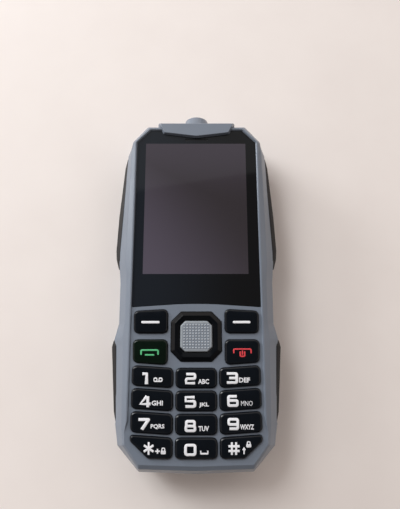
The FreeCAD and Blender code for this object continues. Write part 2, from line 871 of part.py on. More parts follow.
def display_module():
    """Display cell on its light guide, with the narrow ledge that carries the driver chip."""
    x0, x1 = -21.36, 21.36
    high = display_roof_z - 0.05
    guide = box(x0, x1, module_bottom_y, module_top_y, module_low_z, high - 0.9)
    cell = box(x0 + 0.6, x1 - 0.6, -2.6, module_top_y - 0.2, high - 0.9, high)
    chip = box(-9.0, 9.0, -5.6, -4.0, high - 0.9, high - 0.4)
    return joined(guide, cell, chip)


def display_frame():
    tray = block(mirrored([(21.2, 52.2), (21.75, 51.6), (21.75, -8.2)]), 12.25, 13.6)
    hollow = box(-21.4, 21.4, -6.45, module_top_y + 0.05, module_low_z, 15.0)
    return tray.cut(hollow)


def display_flex():
    """Ribbon that leaves the display's ledge and folds down to the board."""
    strip = box(-8.0, 8.0, -8.05, -6.45, 13.65, 13.8)
    drop = box(-8.0, 8.0, -8.45, -8.3, board_top_z + 0.02, 13.8)
    bridge = box(-8.0, 8.0, -8.45, -8.0, 13.65, 13.8)
    return joined(strip, bridge, drop)


def earpiece():
    base = box(-7.0, 7.0, 52.5, 56.4, 12.3, 14.2)
    gasket = box(-5.4, 5.4, 52.5, 54.4, 14.2, window_bottom_z - 0.05)
    return joined(base, gasket).cut(box(-4.4, 4.4, 52.3, 53.4, 14.0, window_bottom_z + 1.0))


def vibration_motor():
    return post(-13.0, 28.0, 8.75, board_bottom_z, 4.0)


def shield_can():
    can = box(-6.0, 17.0, 20.0, 35.5, 9.2, board_bottom_z)
    inner = box(-5.8, 16.8, 20.2, 35.3, 9.4, board_bottom_z + 1.0)
    return can.cut(inner)


def card_holder(x0, x1, y0, y1):
    """Low metal cage, open at one end, that presses a card on its contacts."""
    cage = box(x0, x1, y0, y1, 9.0, board_bottom_z)
    room = box(x0 + 0.3, x1 - 0.3, y0 - 1.0, y1 - 0.3, 9.3, board_bottom_z - 0.9)
    view = box(x0 + 2.2, x1 - 2.2, y0 - 1.0, y1 - 3.0, 8.0, 9.6)
    return cage.cut([room, view])


def antenna_carrier():
    return prism([(-19.0, 49.8), (-3.4, 54.4), (-3.4, 51.6), (-19.0, 37.8)], 0.5, 8.9, board_bottom_z)


parts = {
    "front_housing": front_housing(),
    "rear_housing": rear_housing(),
    "rear_cover": rear_cover(),
    "housing_screws": housing_screws(),
    "torch_cap": torch_cap(),
    "torch_lens": torch_lens(),
    "torch_led": torch_led(),
    "display_window": display_window(),
    "window_gasket": window_gasket(),
    "earpiece_mesh": earpiece_mesh(),
    "earpiece": earpiece(),
    "display_module": display_module(),
    "display_frame": display_frame(),
    "display_flex": display_flex(),
    "main_board": main_board(),
    "dome_sheet": dome_sheet(),
    "keymat": keymat(),
    "shield_can": shield_can(),
    "vibration_motor": vibration_motor(),
    "sim_holder_left": card_holder(-16.5, -2.0, -11.0, 7.5),
    "sim_holder_right": card_holder(2.0, 16.5, -11.0, 7.5),
    "memory_card_holder": card_holder(-6.0, 6.0, -36.0, -24.0),
    "battery": battery(),
    "battery_contacts": battery_contacts(),
    "antenna_carrier": antenna_carrier(),
    "camera_window": camera_window(),
    "camera_module": camera_module(),
    "loudspeaker": loudspeaker(),
    "microphone": microphone(),
    "usb_connector": usb_connector(),
    "headset_jack": headset_jack(),
    "nav_pad": nav_pad(),
    "nav_ring": nav_ring(),
    "ok_key": ok_key(),
}
parts.update(grips)
for name in key_outlines:
    parts[name] = key(name)

for name, shape in parts.items():
    export(name, shape)
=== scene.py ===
import json
import math

import bpy
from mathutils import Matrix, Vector

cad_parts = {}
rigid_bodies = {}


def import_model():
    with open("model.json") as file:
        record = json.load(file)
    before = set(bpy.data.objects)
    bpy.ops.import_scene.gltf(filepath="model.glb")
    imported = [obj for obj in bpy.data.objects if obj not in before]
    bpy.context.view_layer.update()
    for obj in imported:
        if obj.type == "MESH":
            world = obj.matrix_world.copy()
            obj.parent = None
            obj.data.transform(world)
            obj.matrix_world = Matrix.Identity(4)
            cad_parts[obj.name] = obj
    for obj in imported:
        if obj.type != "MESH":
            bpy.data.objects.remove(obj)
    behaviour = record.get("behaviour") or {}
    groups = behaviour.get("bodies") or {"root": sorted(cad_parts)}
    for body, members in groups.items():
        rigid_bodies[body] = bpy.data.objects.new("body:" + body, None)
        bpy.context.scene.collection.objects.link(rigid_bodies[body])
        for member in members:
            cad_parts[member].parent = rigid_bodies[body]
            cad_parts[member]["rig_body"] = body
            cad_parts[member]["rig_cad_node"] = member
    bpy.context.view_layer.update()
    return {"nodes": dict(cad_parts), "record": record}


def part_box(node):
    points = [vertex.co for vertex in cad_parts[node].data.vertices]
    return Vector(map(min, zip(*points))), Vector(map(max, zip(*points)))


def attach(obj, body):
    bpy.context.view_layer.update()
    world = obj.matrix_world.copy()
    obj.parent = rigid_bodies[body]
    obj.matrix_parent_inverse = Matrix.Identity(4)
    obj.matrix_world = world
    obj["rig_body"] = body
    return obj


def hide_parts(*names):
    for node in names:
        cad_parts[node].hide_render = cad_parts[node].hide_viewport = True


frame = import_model()
nodes = frame["nodes"]
mm = 0.001


# Camera
# The phone lies on its back and is seen from above its keypad, tilted towards the torch end.
# The place, turn and lens were worked out from the corners of the display's visible area.

camera_place = Vector((0.85, -25.53, 170.65)) * mm
camera_turn = [math.radians(angle) for angle in (12.674, -0.147, -0.061)]
camera_lens = 40.5

bpy.ops.object.camera_add(location=camera_place, rotation=camera_turn)
camera = bpy.context.active_object
camera.data.lens = camera_lens
camera.data.sensor_fit = "HORIZONTAL"
camera.data.clip_start = 0.01
bpy.context.scene.camera = camera
bpy.context.scene.view_settings.view_transform = "Standard"


# Table and light
# A plain pale table, lit by a soft lamp at the phone's upper left, a bright panel low on its left and a
# dim one beyond its top end. The room is pale half way up, and dark above, low down and to the south.

def colour(red, green, blue):
    """Linear colour from the values that a screen shows."""
    screen = [value / 255.0 for value in (red, green, blue)]
    linear = [v / 12.92 if v <= 0.04045 else ((v + 0.055) / 1.055) ** 2.4 for v in screen]
    return (*linear, 1.0)


class Field:
    """A number that varies over a surface. Python's operators add the Math nodes for it."""

    def __init__(self, recipe, socket):
        self.recipe = recipe
        self.socket = socket

    def maths(self, operation, *values):
        return self.recipe.add("ShaderNodeMath", {"operation": operation}, dict(enumerate(values)))

    def __add__(self, other):
        return self.maths("ADD", self, other)

    def __sub__(self, other):
        return self.maths("SUBTRACT", self, other)

    def __rsub__(self, other):
        return self.maths("SUBTRACT", other, self)

    def __mul__(self, other):
        return self.maths("MULTIPLY", self, other)

    def __lt__(self, other):
        return self.maths("LESS_THAN", self, other)

    def larger(self, other):
        return self.maths("MAXIMUM", self, other)

    def size(self):
        return self.maths("ABSOLUTE", self)

    def root(self):
        return self.maths("SQRT", self)

    def within(self, low, high):
        """The field's place between two values, from 0 to 1, with soft ends."""
        settings = {"interpolation_type": "SMOOTHSTEP"}
        span = {"Value": self, "From Min": low, "From Max": high}
        return self.recipe.add("ShaderNodeMapRange", settings, span)

    __radd__ = __add__
    __rmul__ = __mul__


class Recipe:
    """The nodes of one material or of the room."""

    def __init__(self, owner):
        owner.use_nodes = True
        self.tree = owner.node_tree

    def add(self, kind, settings=None, inputs=None, output=0):
        """A node of the given type, with its settings made first and then its sockets filled."""
        node = self.tree.nodes.new(kind)
        for name, value in (settings or {}).items():
            setattr(node, name, value)
        for socket, value in (inputs or {}).items():
            if isinstance(value, Field):
                self.tree.links.new(value.socket, node.inputs[socket])
            else:
                node.inputs[socket].default_value = value
        return Field(self, node.outputs[output])

    def axes(self, place):
        """The three coordinates of a place."""
        outputs = self.add("ShaderNodeSeparateXYZ", inputs={0: place}).socket.node.outputs
        return [Field(self, outputs[axis]) for axis in "XYZ"]

    def tint(self, field, low, high):
        """Colour that goes from low to high with the field."""
        return self.add("ShaderNodeMix", {"data_type": "RGBA"}, {0: field, 6: low, 7: high}, output=2)


class Finish(Recipe):
    """One material. Constants stay on its shader, and fields feed what changes over the surface."""

    def __init__(self, name, **constants):
        self.material = bpy.data.materials.new(name)
        super().__init__(self.material)
        self.shader = self.tree.nodes["Principled BSDF"]
        for socket, value in constants.items():
            self.shader.inputs[socket.replace("_", " ")].default_value = value
        self.place = self.add("ShaderNodeTexCoord", output="Object")

    def feed(self, socket, field):
        self.tree.links.new(field.socket, self.shader.inputs[socket])

    def cloud(self, grain, detail=2.0):
        """Cloudy field between 0 and 1, whose clouds are about one grain across."""
        clouds = {"Vector": self.place, "Scale": 1.0 / grain, "Detail": detail}
        return self.add("ShaderNodeTexNoise", inputs=clouds)

    def relief(self, field, depth):
        self.feed("Normal", self.add("ShaderNodeBump", inputs={"Height": field, "Distance": depth}))

    def on(self, *pieces):
        for piece in pieces:
            piece.data.materials.clear()
            piece.data.materials.append(self.material)


bpy.ops.mesh.primitive_plane_add(size=6.0, location=(0.0, 0.0, -0.05 * mm))
table = bpy.context.active_object
table.name = "table"
table_top = Finish("pale_table", Roughness=0.8)
table_top.feed("Base Color", table_top.tint(
    table_top.cloud(25 * mm, 4.0), colour(233, 226, 222), colour(241, 235, 231)))
table_top.on(table)

room = bpy.data.worlds.new("room")
bpy.context.scene.world = room
air = Recipe(room)
air.tree.nodes["Background"].inputs["Strength"].default_value = 1.24
outward = air.add("ShaderNodeTexCoord", output="Generated")
east, north, rise = air.axes(outward)
south = 0.0 - north
overhead = rise.within(0.52, 0.94)
low_down = (0.0 - rise).within(-0.4, -0.05) * 0.8
behind = south.within(0.05, 0.75)
right_side = east.within(0.3, 1.0) * 0.35
dimmed = overhead.larger(low_down).larger(behind).larger(right_side)
air.tree.links.new(
    air.tint(dimmed, colour(252, 239, 232), colour(82, 77, 74)).socket,
    air.tree.nodes["Background"].inputs["Color"],
)


def soft_light(name, place, width, height, watts, turn=None):
    """Rectangular source. It faces the phone unless a turn is given."""
    place = Vector(place)
    aim = (-place).to_track_quat("-Z", "Y").to_euler()
    bpy.ops.object.light_add(type="AREA", location=place, rotation=turn or aim)
    light = bpy.context.active_object
    light.name = name
    light.data.shape = "RECTANGLE"
    light.data.size = width
    light.data.size_y = height
    light.data.energy = watts
    light.data.color = colour(250, 253, 255)[:3]


soft_light("main_lamp", (-0.44, 0.47, 0.62), 0.4, 0.4, 3.8)
soft_light("side_panel", (-0.77, 0.52, 0.26), 0.36, 0.2, 4.4)
soft_light("far_panel", (-0.12, 0.97, 1.0), 2.4, 1.1, 2.4, (0.0, 0.0, math.radians(9.4)))


# Housings, cover and torch cap
# Blue-grey shells moulded in a satin plastic with a fine spark-eroded grain. A mould leaves a small
# radius on every edge, so each is a copy of the built piece with its faces merged and edges rounded.

weld_distance = 0.002 * mm
flat_angle = math.radians(0.8)
sharp_angle = math.radians(20.0)


def picked(piece):
    """Leaves this piece selected alone, and active."""
    bpy.ops.object.select_all(action="DESELECT")
    piece.select_set(True)
    bpy.context.view_layer.objects.active = piece


def applied(kind, **settings):
    """Adds a modifier to the active piece and applies it."""
    bpy.ops.object.modifier_add(type=kind)
    modifier = bpy.context.active_object.modifiers[-1]
    for name, value in settings.items():
        setattr(modifier, name, value)
    bpy.ops.object.modifier_apply(modifier=modifier.name)


def cast(node):
    """Copy of a built piece with its loose triangles merged into whole faces."""
    picked(nodes[node])
    bpy.ops.object.duplicate()
    piece = bpy.context.active_object
    piece.name = node + "_moulded"
    del piece["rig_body"], piece["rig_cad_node"]
    piece.parent = None
    bpy.ops.object.mode_set(mode="EDIT")
    bpy.ops.mesh.select_all(action="SELECT")
    bpy.ops.mesh.customdata_custom_splitnormals_clear()
    bpy.ops.mesh.remove_doubles(threshold=weld_distance)
    bpy.ops.mesh.dissolve_limited(angle_limit=flat_angle)
    bpy.ops.object.mode_set(mode="OBJECT")
    return piece


def rounded(piece, radius, rounds=3):
    """Rounds every edge sharper than a mould would leave it."""
    picked(piece)
    applied("BEVEL", width=radius, segments=rounds, limit_method="ANGLE", angle_limit=sharp_angle)


def finished(piece, node, finish):
    """Smooths the shading and lets the piece stand for the built one."""
    picked(piece)
    bpy.ops.object.shade_smooth()
    applied("WEIGHTED_NORMAL")
    finish.on(piece)
    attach(piece, nodes[node]["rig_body"])
    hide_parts(node)


def satin(name, grain, depth):
    """Blue-grey plastic with a moulded grain."""
    plastic = Finish(name, IOR=1.5, Coat_Weight=0.45, Coat_Roughness=0.2)
    mottle = plastic.cloud(14 * mm, 3.0)
    speckle = plastic.cloud(0.35 * mm)
    shade = mottle * 0.6 + speckle * 0.4
    plastic.feed("Base Color", plastic.tint(shade, colour(108, 117, 129), colour(119, 130, 145)))
    plastic.feed("Roughness", mottle * 0.08 + speckle * 0.06 + 0.34)
    plastic.relief(plastic.cloud(grain, 3.0), depth)
    return plastic


crease_height = 16.2 * mm
crease_radius = 0.9 * mm
crease_slack = 0.03 * mm
crease_inner_x = 18 * mm
crease_inner_y = 55 * mm


def crease_softened(piece):
    """Gives the fold that runs round the front shell's bevels a wider curve than the other edges have."""
    picked(piece)
    weights = piece.data.attributes.new("bevel_weight_edge", "FLOAT", "EDGE")
    for edge in piece.data.edges:
        ends = [piece.data.vertices[i].co for i in edge.vertices]
        on_fold = all(abs(end.z - crease_height) < crease_slack for end in ends)
        outside = all(abs(end.x) > crease_inner_x or abs(end.y) > crease_inner_y for end in ends)
        weights.data[edge.index].value = float(on_fold and outside)
    applied("BEVEL", width=crease_radius, segments=5, limit_method="WEIGHT")


fine_satin = satin("shell_plastic", 0.22 * mm, 0.006 * mm)
coarse_satin = satin("cover_plastic", 0.45 * mm, 0.03 * mm)
shell_radii = {"front_housing": 0.2, "rear_housing": 0.25, "rear_cover": 0.25, "torch_cap": 0.25}
for name, radius in shell_radii.items():
    piece = cast(name)
    if name == "front_housing":
        crease_softened(piece)
    rounded(piece, radius * mm)
    finished(piece, name, coarse_satin if name == "rear_cover" else fine_satin)


# Side grips
# Four dark pads of soft rubber, moulded into the sides and standing a little proud of them.

grip_radius = 0.35 * mm

rubber = Finish("grip_rubber", IOR=1.45)
worn = rubber.cloud(3 * mm, 4.0)
rubber.feed("Base Color", rubber.tint(worn, colour(20, 19, 20), colour(31, 29, 30)))
rubber.feed("Roughness", worn * 0.2 + 0.5)
rubber.relief(rubber.cloud(0.3 * mm, 3.0), 0.012 * mm)

for name in ("left_upper_grip", "left_lower_grip", "right_upper_grip", "right_lower_grip"):
    piece = cast(name)
    rounded(piece, grip_radius)
    finished(piece, name, rubber)


# Display window
# One hard-coated sheet, printed black on its back except over the display, which lies dark behind it.
# It is polished, so the room shows in it. A reflection is painted over the display, lighter towards its
# lower left and over its upper half, and a sheen is painted on the border, lighter towards the left.

active_half = Vector((18.36, 24.48)) * mm
active_middle = Vector((-0.25, 26.6)) * mm
window_radius = 0.12 * mm

window = Finish("window_polish", IOR=1.45, Roughness=0.05)
x, y = window.axes(window.place)[:2]
shown = ((x - active_middle.x).size() < active_half.x) * ((y - active_middle.y).size() < active_half.y)
leftward = x * (-0.5 / active_half.x)
upward = (y - active_middle.y) * (0.5 / active_half.y)
# Painted reflection: lighter towards the display's lower left and over its upper half.
painted_reflection = (leftward - upward).within(-0.4, 1.1).larger(upward.within(0.0, 0.5) * 0.36)
# Painted sheen: the black print is made lighter and bluer towards the left.
printed_border_painted_sheen = window.tint(leftward.within(-0.5, 0.5), colour(16, 17, 19), colour(27, 32, 39))
dark_display_painted_reflection = window.tint(painted_reflection, colour(53, 49, 53), colour(85, 80, 93))
window.feed("Base Color", window.tint(shown, printed_border_painted_sheen, dark_display_painted_reflection))

glass = cast("display_window")
rounded(glass, window_radius)
finished(glass, "display_window", window)


# Keys
# Caps moulded in black and polished, with rounded rims and a crowned top that drops to every side.

key_names = ["key_soft_left", "key_soft_right", "key_call", "key_end", "key_star", "key_0", "key_hash"]
key_names += ["key_" + str(digit) for digit in range(1, 10)]
crown_rise = 0.28 * mm
crown_reach = 3.1 * mm
crown_pitch = 0.7 * mm
crown_skin = 0.5 * mm
key_radius = 0.26 * mm
level_enough = 0.99
top_slack = 0.02 * mm
shortest_side = 1.2 * mm
crowns = {}


class Crown:
    """Height that a key's top gains inside its rim. It falls to nothing at each of the long sides."""

    def __init__(self, piece, top):
        level = [face for face in piece.data.polygons if face.normal.z > level_enough]
        tops = [face for face in level if face.center.z > top - top_slack]
        rim = [piece.data.vertices[i].co for i in max(tops, key=lambda face: face.area).vertices]
        self.top = top
        self.sides = []
        for start, end in zip(rim, rim[1:] + rim[:1]):
            along = end - start
            if along.length > shortest_side:
                inward = Vector((-along.y, along.x, 0.0)).normalized()
                self.sides.append((start.copy(), inward))

    def height(self, point):
        share = 1.0
        for start, inward in self.sides:
            depth = min(max((point - start).dot(inward) / crown_reach, 0.0), 1.0)
            share *= 1.0 - (1.0 - depth) ** 2
        return crown_rise * share


def gridded(piece):
    """Cuts the piece along a square grid, so that its top can curve."""
    picked(piece)
    corners = [Vector(corner) for corner in piece.bound_box]
    bpy.ops.object.mode_set(mode="EDIT")
    for axis in (0, 1):
        normal = Vector((axis == 0, axis == 1, 0))
        first = math.ceil(min(corner[axis] for corner in corners) / crown_pitch)
        last = math.floor(max(corner[axis] for corner in corners) / crown_pitch)
        for step in range(first, last + 1):
            bpy.ops.mesh.select_all(action="SELECT")
            bpy.ops.mesh.bisect(plane_co=normal * step * crown_pitch, plane_no=normal, threshold=1e-7)
    bpy.ops.object.mode_set(mode="OBJECT")


def gloss(name, dark, light):
    """Polished plastic with a faint haze of handling."""
    polish = Finish(name, IOR=1.38)
    haze = polish.cloud(2.5 * mm, 3.0)
    polish.feed("Base Color", polish.tint(haze, colour(*dark), colour(*light)))
    polish.feed("Roughness", haze * 0.06 + 0.09)
    return polish


black_gloss = gloss("key_gloss", (7, 12, 18), (12, 18, 25))
green_gloss = gloss("call_key_gloss", (3, 15, 9), (6, 22, 13))

for name in key_names:
    piece = cast(name)
    crowns[name] = crown = Crown(piece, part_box(name)[1].z)
    rounded(piece, key_radius, 4)
    gridded(piece)
    for vertex in piece.data.vertices:
        if vertex.co.z > crown.top - crown_skin:
            vertex.co.z += crown.height(vertex.co)
    finished(piece, name, green_gloss if name == "key_call" else black_gloss)


# Rocker and centre key
# The rocker is an eight-sided black ring. The centre key is light grey, and its top carries a field
# of small raised dots for the thumb. Shade is painted on the ground between the dots, which is darker
# than the rim, and a highlight is painted on the dots, which are lighter than the rest of the key.

ring_radius = 0.42 * mm
centre_radius = 0.18 * mm

ring_gloss = gloss("rocker_gloss", (5, 8, 12), (9, 13, 18))
ring_gloss.shader.inputs["Specular IOR Level"].default_value = 0.3
ring = cast("nav_ring")
rounded(ring, ring_radius, 5)
finished(ring, "nav_ring", ring_gloss)

dot_count = 9
dot_pitch = Vector((1.005, 0.94)) * mm
dot_radius = 0.3 * mm
dot_height = 0.12 * mm
ok_low, ok_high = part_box("ok_key")
ok_middle = (ok_low + ok_high) / 2.0
field_half = dot_pitch * (dot_count / 2.0)

grey = Finish("centre_key_grey", IOR=1.45)
x, y = grey.axes(grey.place)[:2]
painted_shade_field = ((x - ok_middle.x).size() < field_half.x) * ((y - ok_middle.y).size() < field_half.y)
dust = grey.cloud(0.8 * mm, 3.0)
# Painted shade: the dot field is made darker than the rim.
grey.feed("Base Color", grey.tint(painted_shade_field, colour(146, 154, 161), colour(122, 131, 142)))
grey.feed("Roughness", dust * 0.12 + 0.36)
centre = cast("ok_key")
rounded(centre, centre_radius)
finished(centre, "ok_key", grey)

painted_highlight_dots = Finish("dot_grey_painted_highlight", Roughness=0.35)
# Painted highlight: the dots are made lighter than the rest of the key.
painted_highlight_dots.feed("Base Color", painted_highlight_dots.tint(painted_highlight_dots.cloud(0.5 * mm), colour(164, 172, 180), colour(178, 186, 194)))
bpy.ops.object.select_all(action="DESELECT")
corner = Vector((
    ok_middle.x - dot_pitch.x * (dot_count - 1) / 2.0,
    ok_middle.y - dot_pitch.y * (dot_count - 1) / 2.0,
    ok_high.z,
))
bpy.ops.mesh.primitive_uv_sphere_add(segments=12, ring_count=6, radius=dot_radius, location=corner)
dots = bpy.context.active_object
dots.name = "centre_key_dots"
bpy.ops.transform.resize(value=(1.0, 1.0, dot_height / dot_radius))
bpy.ops.object.transform_apply()
for step in (Vector((dot_pitch.x, 0.0, 0.0)), Vector((0.0, dot_pitch.y, 0.0))):
    applied("ARRAY", count=dot_count, use_relative_offset=False, use_constant_offset=True,
            constant_offset_displace=step)
bpy.ops.object.shade_smooth()
painted_highlight_dots.on(dots)
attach(dots, nodes["ok_key"]["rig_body"])


# Legends
# White, green and red signs printed on the key tops: squared digits with small letters beside them,
# dashes on the soft keys and handsets on the call keys. Each is a thin layer that follows the crown.

corner_radius = 0.45
corner_steps = 4
corner_share = 0.48
print_depth = 0.06 * mm
letter_boldness = 0.034


def softened(points, closed):
    """The path with its corners turned into short curves. A third number sets a corner's radius."""
    places = [Vector(point[:2]) for point in points]
    radii = [point[2] if len(point) == 3 else corner_radius for point in points]
    path = []
    for i, here in enumerate(places):
        if radii[i] == 0 or (not closed and i in (0, len(places) - 1)):
            path.append(here)
            continue
        back = places[i - 1] - here
        ahead = places[(i + 1) % len(places)] - here
        reach = min(radii[i], corner_share * back.length, corner_share * ahead.length)
        start = here + back.normalized() * reach
        end = here + ahead.normalized() * reach
        for step in range(corner_steps + 1):
            t = step / corner_steps
            path.append(start * (1 - t) ** 2 + here * 2 * t * (1 - t) + end * t ** 2)
    return path


def drawn(strokes, width):
    """Sign made of strokes of one width. A stroke is its points and whether it is open, closed or round."""
    bpy.ops.object.select_all(action="DESELECT")
    bpy.ops.curve.primitive_nurbs_path_add()
    sign = bpy.context.active_object
    sign.data.splines.clear()
    sign.data.dimensions = "3D"
    sign.data.bevel_depth = width / 2.0
    sign.data.bevel_resolution = 2
    sign.data.use_fill_caps = True
    for layer, (points, kind) in enumerate(strokes):
        path = [(place, 1.0) for place in softened(points, kind == "closed")]
        if kind == "round":
            lead = (path[0][0] - path[1][0]).normalized() * width / 2.0
            trail = (path[-1][0] - path[-2][0]).normalized() * width / 2.0
            turns = [math.radians(angle) for angle in (30, 60, 85)]
            path = ([(path[0][0] + lead * math.sin(a), math.cos(a)) for a in reversed(turns)] + path
                    + [(path[-1][0] + trail * math.sin(a), math.cos(a)) for a in turns])
        line = sign.data.splines.new("POLY")
        line.points.add(len(path) - 1)
        line.use_cyclic_u = kind == "closed"
        for point, (place, breadth) in zip(line.points, path):
            point.co = (place.x, place.y, layer * width * 0.1, 1.0)
            point.radius = breadth
    return sign


def lettered(text):
    """Small bold capitals. Texts with an M stay plain, because its narrow notches would fill in."""
    bpy.ops.object.text_add()
    sign = bpy.context.active_object
    sign.data.body = text
    sign.data.size = 1.0
    sign.data.offset = 0.0 if "M" in text else letter_boldness
    sign.data.resolution_u = 2
    sign.data.extrude = 0.1
    return sign


def printed(sign, left, right, top, bottom, crown):
    """Turns a sign into a thin mesh that fills the given box and lies on a key's crown."""
    picked(sign)
    bpy.ops.object.convert(target="MESH")
    sign = bpy.context.active_object
    low = Vector([min(corner[i] for corner in sign.bound_box) for i in range(3)])
    high = Vector([max(corner[i] for corner in sign.bound_box) for i in range(3)])
    span = high - low
    place = Vector((left + right, top + bottom, 0.0)) * 0.5 * mm
    for vertex in sign.data.vertices:
        offset = vertex.co - (low + high) / 2.0
        vertex.co = place + Vector((
            offset.x * (right - left) * mm / span.x,
            offset.y * (top - bottom) * mm / span.y,
            offset.z * print_depth / span.z,
        ))
    gridded(sign)
    for vertex in sign.data.vertices:
        vertex.co.z += crown.top + crown.height(vertex.co)
    return sign


signs = {
    "1": [([(-0.6, 1.47), (0.5, 1.47, 0), (0.5, -1.47)], "open")],
    "2": [([(-1.49, 1.47), (1.49, 1.47), (1.49, 0), (-1.49, 0), (-1.49, -1.47, 0), (1.49, -1.47)], "open")],
    "3": [([(-1.49, 1.47), (1.45, 1.47), (1.45, -1.47), (-1.49, -1.47)], "open"),
          ([(-0.8, 0), (1.3, 0)], "open")],
    "4": [([(0.4, 1.47), (-1.6, -0.62, 0), (1.6, -0.62)], "open"), ([(0.75, 1.47), (0.75, -1.47)], "open")],
    "5": [([(1.4, 1.47), (-1.4, 1.47, 0), (-1.4, 0.22, 0), (1.49, 0.22), (1.49, -1.47),
            (-1.49, -1.47)], "open")],
    "6": [([(-1.49, 0.15), (1.49, 0.15), (1.49, -1.47), (-1.49, -1.47)], "closed"),
          ([(1.3, 1.47), (-1.49, 1.47), (-1.49, -0.6)], "open")],
    "7": [([(-1.49, 1.47), (1.3, 1.47, 0.1), (-0.5, -1.47)], "open")],
    "8": [([(-1.35, 1.47), (1.35, 1.47), (1.35, 0), (-1.35, 0)], "closed"),
          ([(-1.49, 0), (1.49, 0), (1.49, -1.47), (-1.49, -1.47)], "closed")],
    "9": [([(-1.49, 1.47), (1.49, 1.47), (1.49, -0.15), (-1.49, -0.15)], "closed"),
          ([(1.49, 0.6), (1.49, -1.47), (-1.3, -1.47)], "open")],
    "0": [([(-1.49, 1.47, 0.6), (1.49, 1.47, 0.6), (1.49, -1.47, 0.6), (-1.49, -1.47, 0.6)], "closed")],
    "star": [([(0, 1.6), (0, -1.6)], "open"), ([(-1.4, 0.8), (1.4, -0.8)], "open"),
             ([(-1.4, -0.8), (1.4, 0.8)], "open")],
    "hash": [([(-0.55, 1.6), (-0.6, -1.6)], "open"), ([(0.6, 1.6), (0.55, -1.6)], "open"),
             ([(-1.5, 0.6), (1.5, 0.6)], "open"), ([(-1.5, -0.6), (1.5, -0.6)], "open")],
    "dash": [([(-2.7, 0), (2.7, 0)], "round")],
    "handset": [([(-2.8, -0.6), (-2.8, 0.7), (2.8, 0.7), (2.8, -0.6)], "round"),
                ([(-1.3, -0.85), (1.3, -0.85)], "round")],
    "handset_power": [([(-2.9, 0), (-2.9, 1.2), (2.9, 1.2), (2.9, 0)], "round"),
                      ([(-0.75, 0.2), (-0.75, -1.2), (0.75, -1.2), (0.75, 0.2)], "round"),
                      ([(0, 0.5), (0, -0.5)], "round")],
    "tape": [([(-1.4, 0.45), (-0.35, 0.45), (-0.35, -0.4), (-1.4, -0.4)], "closed"),
             ([(0.35, 0.45), (1.4, 0.45), (1.4, -0.4), (0.35, -0.4)], "closed"),
             ([(-0.9, -0.4), (0.9, -0.4)], "open")],
    "plus": [([(-0.6, 0), (0.6, 0)], "open"), ([(0, 0.6), (0, -0.6)], "open")],
    "lock": [([(-0.4, 0.0), (-0.4, 0.8), (0.4, 0.8), (0.4, 0.0)], "open"),
             ([(-0.55, 0, 0.1), (0.55, 0, 0.1), (0.55, -0.65, 0.1), (-0.55, -0.65, 0.1)], "closed"),
             ([(-0.4, -0.32), (0.4, -0.32)], "open")],
    "space": [([(-1.1, 0.4), (-1.1, -0.35, 0.1), (1.1, -0.35, 0.1), (1.1, 0.4)], "open")],
    "arrow": [([(-0.4, 0.1), (0, 0.7, 0), (0.4, 0.1)], "open"), ([(0, 0.5), (0, -0.9)], "open")],
}

digit_columns = [-16.65, -1.84, 11.9]
side_rows = [-32.7, -39.87, -46.93]
middle_rows = [-32.88, -40.13, -47.53]
digit_width, digit_height = 3.75, 3.76
bold, fine = 0.9, 0.38

legends = {
    "key_1": [("tape", fine, (-14.02, -10.98, -32.45, -33.95))],
    "key_2": [("ABC", None, (0.58, 4.18, -32.98, -34.55))],
    "key_3": [("DEF", None, (14.01, 17.61, -32.52, -34.1))],
    "key_4": [("GHI", None, (-14.48, -10.8, -39.69, -41.23))],
    "key_5": [("JKL", None, (0.9, 4.14, -40.32, -41.87))],
    "key_6": [("MNO", None, (14.51, 18.27, -39.82, -41.36))],
    "key_7": [("PQRS", None, (-14.6, -10.15, -46.89, -48.46))],
    "key_8": [("TUV", None, (0.71, 4.1, -47.51, -49.08))],
    "key_9": [("WXYZ", None, (14.04, 18.53, -47.02, -48.59))],
    "key_star": [("star", 0.62, (-16.77, -13.35, -52.3, -56.1)),
                 ("plus", 0.4, (-12.95, -11.5, -54.3, -55.75)),
                 ("lock", 0.3, (-11.2, -9.6, -53.9, -55.95))],
    "key_0": [("0", bold, (-3.8, 0.13, -52.82, -56.53)), ("space", 0.42, (1.25, 3.9, -54.85, -56.05))],
    "key_hash": [("hash", 0.6, (10.24, 13.76, -52.4, -56.15)), ("arrow", 0.45, (14.6, 15.75, -53.75, -55.95)),
                 ("lock", 0.3, (15.9, 17.5, -52.1, -53.95))],
    "key_soft_left": [("dash", 0.82, (-18.5, -12.3, -14.13, -14.97))],
    "key_soft_right": [("dash", 0.82, (12.3, 18.25, -14.13, -14.97))],
    "key_call": [("handset", 0.55, (-18.52, -12.35, -23.44, -25.54))],
    "key_end": [("handset_power", 0.5, (12.2, 18.44, -23.17, -26.0))],
}
for digit in range(1, 10):
    column, row = (digit - 1) % 3, (digit - 1) // 3
    x = digit_columns[column]
    y = (middle_rows if column == 1 else side_rows)[row]
    half = 1.0 if digit == 1 else digit_width / 2.0
    box = (x - half, x + half, y + digit_height / 2.0, y - digit_height / 2.0)
    legends["key_" + str(digit)].append((str(digit), bold, box))

inks = {}
for name, base in {"white": (232, 235, 240), "green": (84, 184, 124), "red": (214, 62, 70)}.items():
    ink = Finish(name + "_ink", Roughness=0.4)
    paler = [min(255, value + 10) for value in base]
    ink.feed("Base Color", ink.tint(ink.cloud(0.6 * mm), colour(*base), colour(*paler)))
    inks[name] = ink
key_inks = {"key_call": "green", "key_end": "red"}

